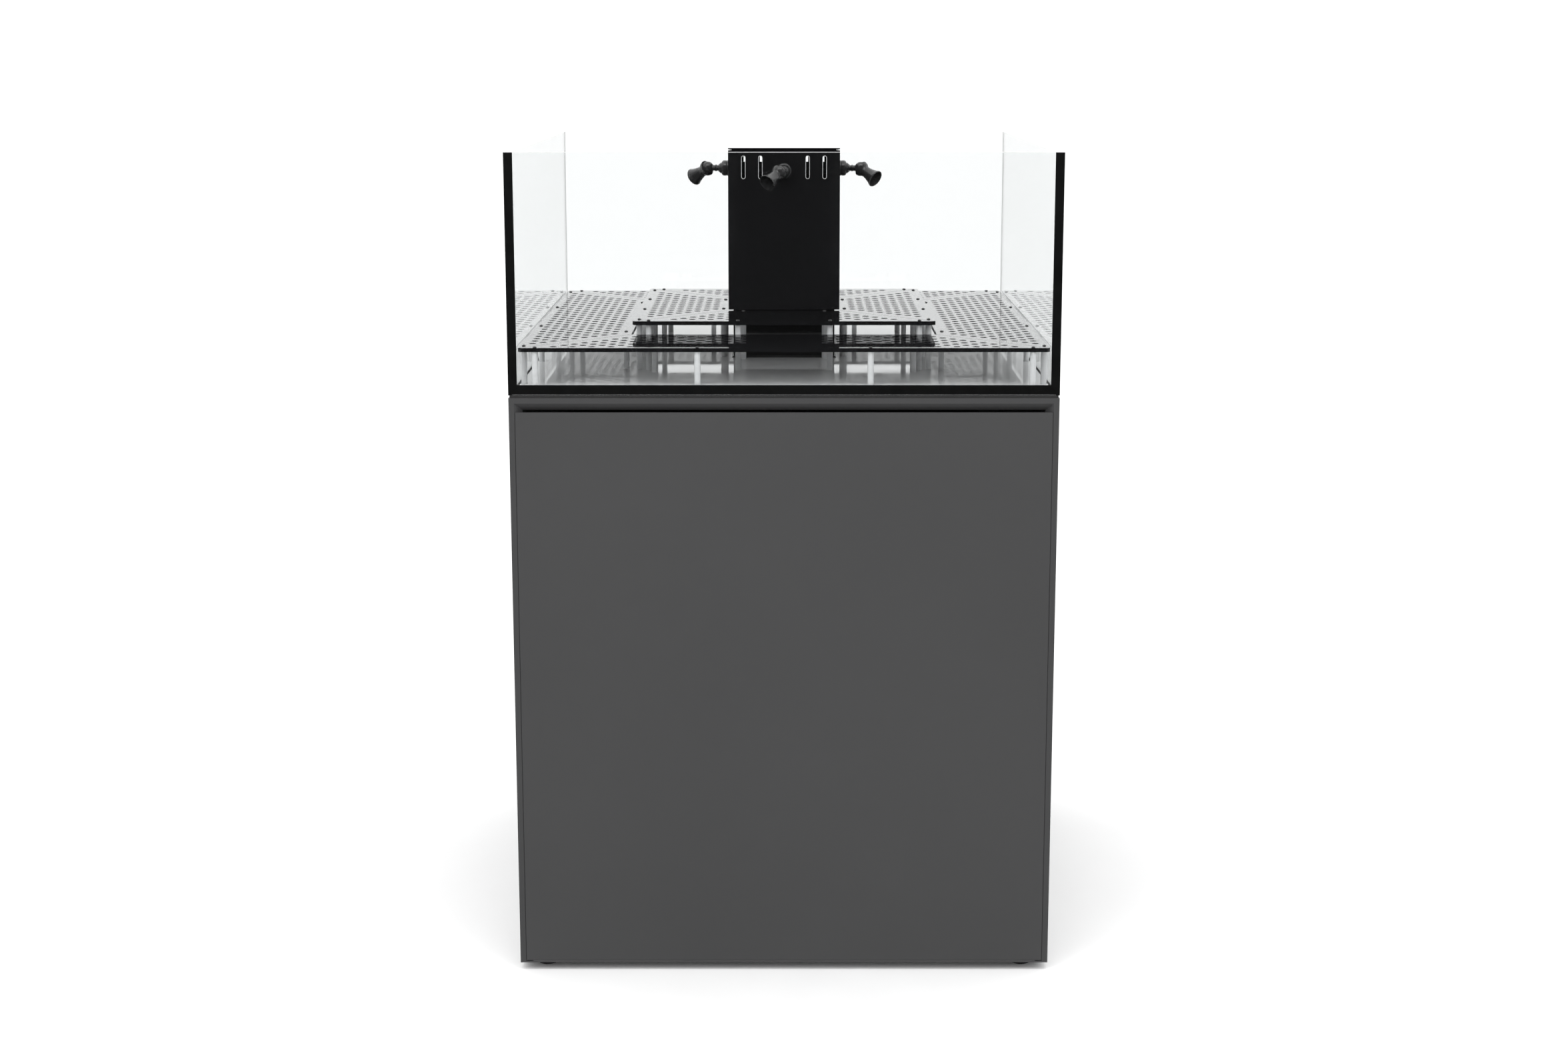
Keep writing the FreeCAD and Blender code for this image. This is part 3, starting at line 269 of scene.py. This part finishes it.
def silicone():
    """Black silicone, slightly uneven where it was tooled."""
    surface = Surface("silicone")
    surface.colours(surface.noise(12), (0.006, 0.006, 0.006), (0.011, 0.011, 0.011))
    surface.roughness(surface.noise(60, 4), 0.3, 0.5)
    surface.bump(surface.noise(160, 3), 0.25, 0.0004)
    return surface.material


def foam():
    """Closed-cell foam: pale and finely pitted, with painted shade darkening its outer 3 to 4 mm in place of the
    shadow at its inset edge.
    """
    surface = Surface("foam_mat")
    pits = surface.ranged(surface.noise(1500, 2), 0.9, 1.0)
    place = surface.node("ShaderNodeSeparateXYZ")
    surface.link(surface.coords, place.inputs[0])
    sides = []
    for axis in ("X", "Y"):
        size = surface.node("ShaderNodeMath")
        size.operation = "ABSOLUTE"
        surface.link(place.outputs[axis], size.inputs[0])
        sides.append(size.outputs[0])
    outermost = surface.node("ShaderNodeMath")
    outermost.operation = "MAXIMUM"
    surface.link(sides[0], outermost.inputs[0])
    surface.link(sides[1], outermost.inputs[1])
    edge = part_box("levelling_mat")[1].x
    # Painted shade: the mat's outer 3 to 4 mm is darkened to stand in for the shadow at its inset edge
    painted_edge_shade = surface.ranged(outermost.outputs[0], 1.0, 0.04, edge - 4 * MM, edge - 3 * MM)
    tone = surface.node("ShaderNodeMath")
    tone.operation = "MULTIPLY"
    surface.link(pits, tone.inputs[0])
    surface.link(painted_edge_shade, tone.inputs[1])
    surface.colours(tone.outputs[0], (0.0, 0.0, 0.0), (0.62, 0.62, 0.62))
    surface.roughness(surface.noise(300, 3), 0.75, 0.95)
    surface.bump(surface.noise(1800, 2), 0.7, 0.0004)
    return surface.material


def brushed_steel():
    """Nickel-plated pressings with a short brushed grain."""
    surface = Surface("steel")
    surface.colours(surface.noise(30), (0.52, 0.52, 0.53), (0.66, 0.66, 0.66))
    surface.roughness(surface.noise(400, 4, 0.6, (1, 1, 12)), 0.22, 0.38)
    surface.bump(surface.noise(700, 2, 0.5, (1, 1, 10)), 0.08, 0.0001)
    surface.set(Metallic=1.0)
    return surface.material


def rack_leg():
    """Cast acrylic rod, pale grey and semi-polished with faint saw rings."""
    surface = Surface("rack_legs")
    surface.colours(surface.noise(40, 3, 0.5, (1, 1, 4)), (0.58, 0.585, 0.59), (0.72, 0.725, 0.73))
    surface.roughness(surface.noise(200, 3, 0.5, (1, 1, 8)), 0.10, 0.22)
    surface.bump(surface.noise(600, 1, 0.5, (0.2, 0.2, 3)), 0.05, 0.0001)
    return surface.material


def make_materials():
    satin_black = (0.019, 0.019, 0.0195)
    return {
        "cabinet_lacquer": lacquer("cabinet_lacquer", (0.052, 0.052, 0.053)),
        "door_lacquer": lacquer("door_lacquer", (0.055, 0.055, 0.056)),
        "clear_glass": clear_glass(),
        "silicone": silicone(),
        "foam_mat": foam(),
        "black_acrylic": black_acrylic(),
        "rack_legs": rack_leg(),
        "nozzle_plastic": moulded("nozzle_plastic", satin_black, (0.20, 0.30), 300, 0.06),
        "grey_pvc": moulded("grey_pvc", (0.16, 0.165, 0.17), (0.3, 0.42)),
        "valve_handle": moulded("valve_handle", (0.42, 0.03, 0.02), (0.3, 0.4)),
        "steel": brushed_steel(),
        "foot_plastic": moulded("foot_plastic", (0.012, 0.012, 0.012)),
        "pump_plastic": moulded("pump_plastic", (0.02, 0.02, 0.022)),
        "cup_plastic": moulded("cup_plastic", (0.7, 0.71, 0.72)),
    }


MATERIALS = make_materials()


def dress_nodes():
    """Every CAD node takes the material of its own slot; the tank's floor shows its pale backing."""
    for part in frame["record"]["subparts"]:
        mesh = NODES[part["node"]].data
        mesh.materials.clear()
        mesh.materials.append(MATERIALS[part["material_slot"]])
    floor = NODES["tank_base_glass"].data.materials
    floor.clear()
    floor.append(backed_glass())


def soften_edges():
    """Small broken edges that catch the light."""
    widths = {"door_panel": 1.0, "side_panel_left": 0.6, "side_panel_right": 0.6, "top_panel": 0.6,
              "bottom_panel": 0.6, "weir_cover": 0.45, "weir_lid": 0.4, "levelling_mat": 0.5,
              "tank_front_glass": 0.8, "tank_back_glass": 0.8, "tank_left_glass": 0.6,
              "tank_right_glass": 0.6, "return_pump": 1.2, "valve_handle": 1.2, "valve_body": 0.8,
              "hinge_arms": 0.8, "cup_holder": 0.5, "filter_cup": 0.8}
    for node, width in widths.items():
        bevel = NODES[node].modifiers.new("broken_edge", "BEVEL")
        bevel.width = width * MM
        bevel.segments = 2
        bevel.limit_method = "ANGLE"
        bevel.angle_limit = math.radians(40)
        bevel.harden_normals = False


# ---------------------------------------------------------------- mesh helpers
def new_piece(name, mesh, slot, body):
    piece = bpy.data.objects.new(name, mesh)
    bpy.context.scene.collection.objects.link(piece)
    mesh.materials.append(MATERIALS[slot])
    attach(piece, body)
    return piece


def mesh_from(name, work, smooth_angle=35):
    bmesh.ops.recalc_face_normals(work, faces=work.faces)
    mesh = bpy.data.meshes.new(name)
    work.to_mesh(mesh)
    work.free()
    for polygon in mesh.polygons:
        polygon.use_smooth = True
    mesh.set_sharp_from_angle(angle=math.radians(smooth_angle))
    return mesh


def bridge(work, rings, segments):
    """Faces between each ring of vertices and the next; a ring of one vertex is a point."""
    for first, second in zip(rings, rings[1:]):
        for i in range(segments):
            j = (i + 1) % segments
            corners = [first[i % len(first)], first[j % len(first)]]
            corners += [second[j % len(second)], second[i % len(second)]]
            corners = list(dict.fromkeys(corners))
            if len(corners) > 2:
                work.faces.new(corners)


def add_turned(work, profile, origin, axis, segments, reach):
    """Adds a solid round an axis; reach(radius, step, angle) is how far out each vertex lies."""
    axis = Vector(axis).normalized()
    side = axis.orthogonal().normalized()
    up = axis.cross(side)
    rings = []
    for along, radius in profile:
        centre = Vector(origin) + axis * along
        if radius == 0:
            rings.append([work.verts.new(centre)])
            continue
        ring = []
        for i in range(segments):
            angle = 2 * math.pi * i / segments
            out = side * math.cos(angle) + up * math.sin(angle)
            ring.append(work.verts.new(centre + out * reach(radius, i, angle)))
        rings.append(ring)
    bridge(work, rings, segments)


def add_lathe(work, profile, origin, axis, segments=SEGMENTS, ripple=0.0):
    """Adds a turned solid: (distance along axis, radius) points, closed at an end where radius is 0."""

    def reach(radius, step, angle):
        return radius * (1 - ripple * (step % 2))

    add_turned(work, profile, origin, axis, segments, reach)


def rounded(points, radius, steps=4):
    """A (distance, radius) profile with its inner corners rounded."""
    result = [points[0]]
    for before, corner, after in zip(points, points[1:], points[2:]):
        corner_v = Vector(corner)
        back = Vector(before) - corner_v
        ahead = Vector(after) - corner_v
        reach = min(radius, back.length * 0.45, ahead.length * 0.45)
        start = corner_v + back.normalized() * reach
        end = corner_v + ahead.normalized() * reach
        for i in range(steps + 1):
            t = i / steps
            point = start * (1 - t) ** 2 + corner_v * (2 * t * (1 - t)) + end * t ** 2
            result.append((point.x, point.y))
    result.append(points[-1])
    return result


def screw_reach(radius, step, angle):
    """Round where the radius is positive, hexagonal where it is negative."""
    if radius > 0:
        return radius
    within = (angle % (math.pi / 3)) - math.pi / 6
    return -radius * math.cos(math.pi / 6) / math.cos(within)


def add_screw(work, place, axis, size):
    """A domed screw head with a hexagon socket."""
    head, height, socket = size
    full = math.pi / 2 * DOME_SHARE
    dome = [(0, head)]
    for i in range(DOME_STEPS + 1):
        angle = full * i / DOME_STEPS
        dome.append((height * math.sin(angle) / math.sin(full), head * math.cos(angle)))
    land = (height, min(dome[-1][1] * 0.9, socket * 1.25))
    recess = [(height, -socket), (height * RECESS_FLOOR, -socket), (height * RECESS_FLOOR, 0)]
    add_turned(work, [(0, 0)] + dome + [land] + recess, place, axis, SCREW_SIDES, screw_reach)


def island_boxes(node):
    """The (lowest, highest) corners of each separate solid in a node."""
    work = bmesh.new()
    work.from_mesh(NODES[node].data)
    bmesh.ops.remove_doubles(work, verts=work.verts, dist=WELD)
    seen = set()
    boxes = []
    for start in work.verts:
        if start.index in seen:
            continue
        stack = [start]
        seen.add(start.index)
        points = []
        while stack:
            vertex = stack.pop()
            points.append(vertex.co.copy())
            for edge in vertex.link_edges:
                other = edge.other_vert(vertex)
                if other.index not in seen:
                    seen.add(other.index)
                    stack.append(other)
        low = Vector([min(p[i] for p in points) for i in range(3)])
        high = Vector([max(p[i] for p in points) for i in range(3)])
        boxes.append((low, high))
    work.free()
    return sorted(boxes, key=lambda pair: tuple(round(v, 4) for v in pair[0]))


# ---------------------------------------------------------------- screws
def make_rack_screws():
    """A screw through the plate into each leg."""
    for ring in ("lower", "upper"):
        for side in SIDES:
            body = f"{ring}_rack_{side}"
            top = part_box(body)[1].z
            work = bmesh.new()
            for low, high in island_boxes(body + "_legs"):
                centre = (low + high) / 2
                add_screw(work, (centre.x, centre.y, top), (0, 0, 1), RACK_SCREW)
            new_piece(f"{body}_screws", mesh_from(f"{body}_screws", work), "foot_plastic", body)


def make_back_screws():
    """Flat screws round the edge of the back panel."""
    low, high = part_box("back_panel")
    edge = BACK_SCREW_MARGIN
    gaps = BACK_SCREWS_A_SIDE - 1
    work = bmesh.new()
    for i in range(gaps + 1):
        x = low.x + edge + (high.x - low.x - 2 * edge) * i / gaps
        for z in (low.z + edge, high.z - edge):
            add_screw(work, (x, high.y, z), (0, 1, 0), BACK_SCREW)
    for i in range(1, gaps):
        z = low.z + edge + (high.z - low.z - 2 * edge) * i / gaps
        for x in (low.x + edge, high.x - edge):
            add_screw(work, (x, high.y, z), (0, 1, 0), BACK_SCREW)
    new_piece("back_panel_screws", mesh_from("back_panel_screws", work), "steel", ROOT)


def make_hinge_screws():
    """Screws that hold the hinge plates to the side and the cups to the door."""
    work = bmesh.new()
    for low, high in island_boxes("hinge_arms"):
        place_x = low.x + HINGE_PLATE
        place_y = high.y - HINGE_PLATE_SCREW_SETBACK
        centre_z = (low.z + high.z) / 2
        for z in (centre_z - HINGE_PLATE_SCREW_SPREAD, centre_z + HINGE_PLATE_SCREW_SPREAD):
            add_screw(work, (place_x, place_y, z), (1, 0, 0), HINGE_PLATE_SCREW)
    new_piece("hinge_plate_screws", mesh_from("hinge_plate_screws", work), "steel", ROOT)
    work = bmesh.new()
    for low, high in island_boxes("hinge_cups"):
        for z in (low.z + HINGE_CUP_SCREW_MARGIN, high.z - HINGE_CUP_SCREW_MARGIN):
            add_screw(work, (high.x - HINGE_CUP_SCREW_SETBACK, high.y, z), (0, 1, 0), HINGE_CUP_SCREW)
    new_piece("hinge_cup_screws", mesh_from("hinge_cup_screws", work), "steel", "door")


# ---------------------------------------------------------------- nozzles
def millimetres(profile):
    return [(along * MM, radius * MM) for along, radius in profile]


def ball_arc(centre, radius, start, end, steps=14):
    """Points of a ball's outline between two angles from the axis, in degrees."""
    points = []
    for i in range(steps + 1):
        angle = math.radians(start + (end - start) * i / steps)
        points.append((centre - radius * math.cos(angle), radius * math.sin(angle)))
    return points


def link_profile(length):
    """Ball, ringed neck, ball."""
    return ball_arc(0, INNER_BALL, 0, 149) + NECK + ball_arc(length, OUTER_BALL, 27, 180)


def flare_profile():
    """Socket shell over the ball, waist, bell mouth with a rolled lip, bore and the ball's cavity."""
    shell = ball_arc(0, FLARE_SHELL, 94, 134, 8)
    cavity = ball_arc(0, FLARE_CAVITY, 142, 95.6, 8)
    return shell + BELL + BORE + cavity + shell[:1]


def make_sockets():
    """The four fixed ball sockets on the tower, each with its nut inside the wall."""
    work = bmesh.new()
    for side in SIDES:
        base = Vector(JOINTS[f"nozzle_{side}_yaw"]["pos_m"])
        out = Vector((base.x, base.y, 0)).normalized()
        add_lathe(work, rounded(millimetres(SOCKET), SOCKET_ROUNDING), base - out * FACE_TO_BALL, out)
    mesh = mesh_from("nozzle_socket_shells", work)
    sockets = new_piece("nozzle_socket_shells", mesh, "nozzle_plastic", ROOT)
    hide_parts("nozzle_sockets")


def make_nozzles():
    """On each face of the tower, a link with its two balls and a flare on the outer one."""
    for side in SIDES:
        base = Vector(JOINTS[f"nozzle_{side}_yaw"]["pos_m"])
        knuckle = Vector(JOINTS[f"nozzle_{side}_pitch"]["pos_m"])
        pitch_axis = Vector(JOINTS[f"nozzle_{side}_pitch"]["axis"]).normalized()
        out = Vector((base.x, base.y, 0)).normalized()
        level = pitch_axis.cross(Vector((0, 0, 1)))
        level = level if level.dot(out) > 0 else -level
        drop = math.radians(FLARE_DROP)
        aim = level * math.cos(drop) - Vector((0, 0, 1)) * math.sin(drop)

        work = bmesh.new()
        length = (knuckle - base).length / MM
        add_lathe(work, millimetres(link_profile(length)), base, knuckle - base)
        node = f"nozzle_{side}_link"
        link = new_piece(f"nozzle_{side}_ball_link", mesh_from("link", work), "nozzle_plastic", node)
        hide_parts(node)

        work = bmesh.new()
        add_lathe(work, millimetres(flare_profile()), knuckle, aim)
        bmesh.ops.remove_doubles(work, verts=work.verts, dist=1e-6)
        node = f"nozzle_{side}_flare"
        flare = new_piece(f"nozzle_{side}_bell", mesh_from("bell", work, 50), "nozzle_plastic", node)
        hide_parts(node)


# ---------------------------------------------------------------- feet and silicone
def make_feet():
    """A knurled disc with a softened rim in place of each plain foot."""
    for corner in ("front_left", "front_right", "back_left", "back_right"):
        node = "foot_" + corner
        low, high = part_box(node)
        radius = (high.x - low.x) / 2
        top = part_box("bottom_panel")[0].z
        outline = [(0, 0), (0, radius * 0.94), (FOOT_EDGE, radius), (top - FOOT_EDGE, radius),
                   (top, radius * 0.93), (top, radius * 0.3), (high.z, radius * 0.27), (high.z, 0)]
        work = bmesh.new()
        centre = ((low.x + high.x) / 2, (low.y + high.y) / 2, low.z)
        add_lathe(work, rounded(outline, FOOT_ROUNDING), centre, (0, 0, 1), FOOT_SEGMENTS, FOOT_KNURL)
        foot = new_piece(f"{node}_knurled", mesh_from("foot", work, 20), "foot_plastic", node)
        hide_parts(node)


def make_tower_bead():
    """The glue bead round the foot of the overflow box."""
    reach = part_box("weir_box")[1].x
    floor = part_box("tank_base_glass")[1].z
    width = GLUE_BEAD
    work = bmesh.new()
    rings = []
    section = [(0, 0), (width, 0), (width * 0.72, width * 0.28), (width * 0.28, width * 0.72), (0, width)]
    for out, up in section:
        half = reach + out
        corners = [(-half, -half), (half, -half), (half, half), (-half, half)]
        rings.append([work.verts.new((x, y, floor + up)) for x, y in corners])
    bridge(work, rings + rings[:1], len(rings[0]))
    new_piece("tower_glue_bead", mesh_from("tower_glue_bead", work), "silicone", ROOT)


def add_rim(work, loop, outward):
    """A fine bead along a closed flat loop."""
    rings = []
    for i, point in enumerate(loop):
        along = (loop[(i + 1) % len(loop)] - loop[i - 1]).normalized()
        across = along.cross(outward)
        ring = []
        for step in range(RIM_SIDES):
            angle = 2 * math.pi * step / RIM_SIDES
            out = across * math.cos(angle) + outward * math.sin(angle)
            ring.append(work.verts.new(point + out * RIM_RADIUS))
        rings.append(ring)
    bridge(work, rings + rings[:1], RIM_SIDES)


def make_slot_painted_highlights():
    """A pale bead round each slot of the tower's cover: a painted highlight along each slot's edge."""
    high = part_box("weir_cover")[1]
    radius = SLOT_WIDTH / 2
    top = high.z - SLOT_BELOW_TOP - radius
    low = high.z - SLOT_BELOW_TOP - SLOT_LENGTH + radius
    work = bmesh.new()
    for quarter in range(4):
        turn = Matrix.Rotation(math.pi / 2 * quarter, 3, "Z")
        for x in (-SLOT_OUTER, -SLOT_INNER, SLOT_INNER, SLOT_OUTER):
            loop = []
            for i in range(2 * SLOT_STEPS + 2):
                upper = i <= SLOT_STEPS
                angle = math.pi * (i if upper else i - 1) / SLOT_STEPS
                level = (top if upper else low) + radius * math.sin(angle)
                loop.append(turn @ Vector((x + radius * math.cos(angle), -high.x, level)))
            add_rim(work, loop, turn @ Vector((0, -1, 0)))
    # The pale bead paints the highlight that the slot edges catch on the dark cover
    new_piece("weir_cover_slot_painted_highlights", mesh_from("weir_cover_slot_painted_highlights", work), "rack_legs", ROOT)


# ---------------------------------------------------------------- stage
def make_floor():
    """White paper, but almost black in front of the object where a polished surface mirrors it."""
    surface = Surface("studio_floor")
    surface.colours(surface.noise(1.5), (0.94, 0.94, 0.94), (0.96, 0.96, 0.96))
    surface.roughness(surface.noise(12, 4), 0.55, 0.7)
    surface.bump(surface.noise(60, 3), 0.02, 0.001)
    dark = surface.node("ShaderNodeBsdfDiffuse")
    dark.inputs["Color"].default_value = (FLOOR_MIRRORED, FLOOR_MIRRORED, FLOOR_MIRRORED, 1)
    place = surface.node("ShaderNodeSeparateXYZ")
    surface.link(surface.coords, place.inputs[0])
    in_front = surface.ranged(place.outputs["Y"], 1.0, 0.0, -FLOOR_FADE, FLOOR_FADE)
    path = surface.node("ShaderNodeLightPath")
    mirrored = surface.node("ShaderNodeMath")
    mirrored.operation = "MULTIPLY"
    mirrored.use_clamp = True
    surface.link(path.outputs["Glossy Depth"], mirrored.inputs[0])
    surface.link(in_front, mirrored.inputs[1])
    mix = surface.node("ShaderNodeMixShader")
    surface.link(mirrored.outputs[0], mix.inputs[0])
    surface.link(surface.shader.outputs[0], mix.inputs[1])
    surface.link(dark.outputs[0], mix.inputs[2])
    surface.link(mix.outputs[0], surface.output.inputs["Surface"])
    half = FLOOR_HALF
    mesh = bpy.data.meshes.new("studio_floor")
    corners = [(-half, -half, 0), (half, -half, 0), (half, half, 0), (-half, half, 0)]
    mesh.from_pydata(corners, [], [(0, 1, 2, 3)])
    mesh.materials.append(surface.material)
    floor = bpy.data.objects.new("studio_floor", mesh)
    bpy.context.scene.collection.objects.link(floor)


def make_world():
    """An even white surround; polished surfaces mirror a dark room in front and a lit sweep behind."""
    world = bpy.data.worlds.new("studio")
    world.use_nodes = True
    tree = world.node_tree
    tree.nodes.clear()
    output = tree.nodes.new("ShaderNodeOutputWorld")
    plain = tree.nodes.new("ShaderNodeBackground")
    mirrored = tree.nodes.new("ShaderNodeBackground")
    plain.inputs["Strength"].default_value = SURROUND
    mirrored.inputs["Strength"].default_value = MIRRORED
    plain.inputs["Color"].default_value = (1, 1, 1, 1)
    split = tree.nodes.new("ShaderNodeSeparateXYZ")
    tree.links.new(tree.nodes.new("ShaderNodeTexCoord").outputs["Generated"], split.inputs[0])
    lean = tree.nodes.new("ShaderNodeMath")
    lean.operation = "MULTIPLY_ADD"
    lean.inputs[1].default_value = UPWARD_SHARE
    tree.links.new(split.outputs["Z"], lean.inputs[0])
    tree.links.new(split.outputs["Y"], lean.inputs[2])
    shifted = tree.nodes.new("ShaderNodeMath")
    shifted.operation = "ADD"
    shifted.inputs[1].default_value = ROOM_OFFSET
    tree.links.new(lean.outputs[0], shifted.inputs[0])
    ramp = tree.nodes.new("ShaderNodeValToRGB")
    stops = ramp.color_ramp
    stops.interpolation = "EASE"
    stops.elements[0].position = ROOM_ENDS
    stops.elements[0].color = (ROOM, ROOM, ROOM, 1)
    stops.elements[1].position = SWEEP_STARTS
    stops.elements[1].color = (1, 1, 1, 1)
    tree.links.new(shifted.outputs[0], ramp.inputs[0])
    tree.links.new(ramp.outputs[0], mirrored.inputs["Color"])
    path = tree.nodes.new("ShaderNodeLightPath")
    mix = tree.nodes.new("ShaderNodeMixShader")
    tree.links.new(path.outputs["Glossy Depth"], mix.inputs[0])
    tree.links.new(plain.outputs[0], mix.inputs[1])
    tree.links.new(mirrored.outputs[0], mix.inputs[2])
    tree.links.new(mix.outputs[0], output.inputs["Surface"])
    bpy.context.scene.world = world


def make_lamp(name, place, target, size, power):
    data = bpy.data.lights.new(name, "AREA")
    data.shape = "RECTANGLE"
    data.size = size[0]
    data.size_y = size[1]
    data.energy = power
    lamp = bpy.data.objects.new(name, data)
    bpy.context.scene.collection.objects.link(lamp)
    lamp.location = place
    lamp.rotation_euler = (Vector(target) - Vector(place)).to_track_quat("-Z", "Y").to_euler()


def make_camera():
    """Eye level above the rim, square on to the front, looking slightly down."""
    data = bpy.data.cameras.new("camera")
    camera = bpy.data.objects.new("camera", data)
    bpy.context.scene.collection.objects.link(camera)
    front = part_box("door_panel")[0].y
    camera.location = (0, front - CAMERA_DISTANCE, CAMERA_HEIGHT)
    camera.rotation_euler = (math.radians(90 - CAMERA_PITCH), 0, 0)
    data.sensor_width = 36
    data.lens = CAMERA_LENS
    data.shift_y = CAMERA_SHIFT
    data.clip_end = 200
    bpy.context.scene.camera = camera


def make_stage():
    make_floor()
    make_world()
    for lamp in LAMPS:
        make_lamp(*lamp)
    bpy.context.scene.view_settings.view_transform = "Standard"


make_camera()
make_stage()
dress_nodes()
soften_edges()
make_rack_screws()
make_back_screws()
make_hinge_screws()
make_sockets()
make_nozzles()
make_feet()
make_tower_bead()
make_slot_painted_highlights()
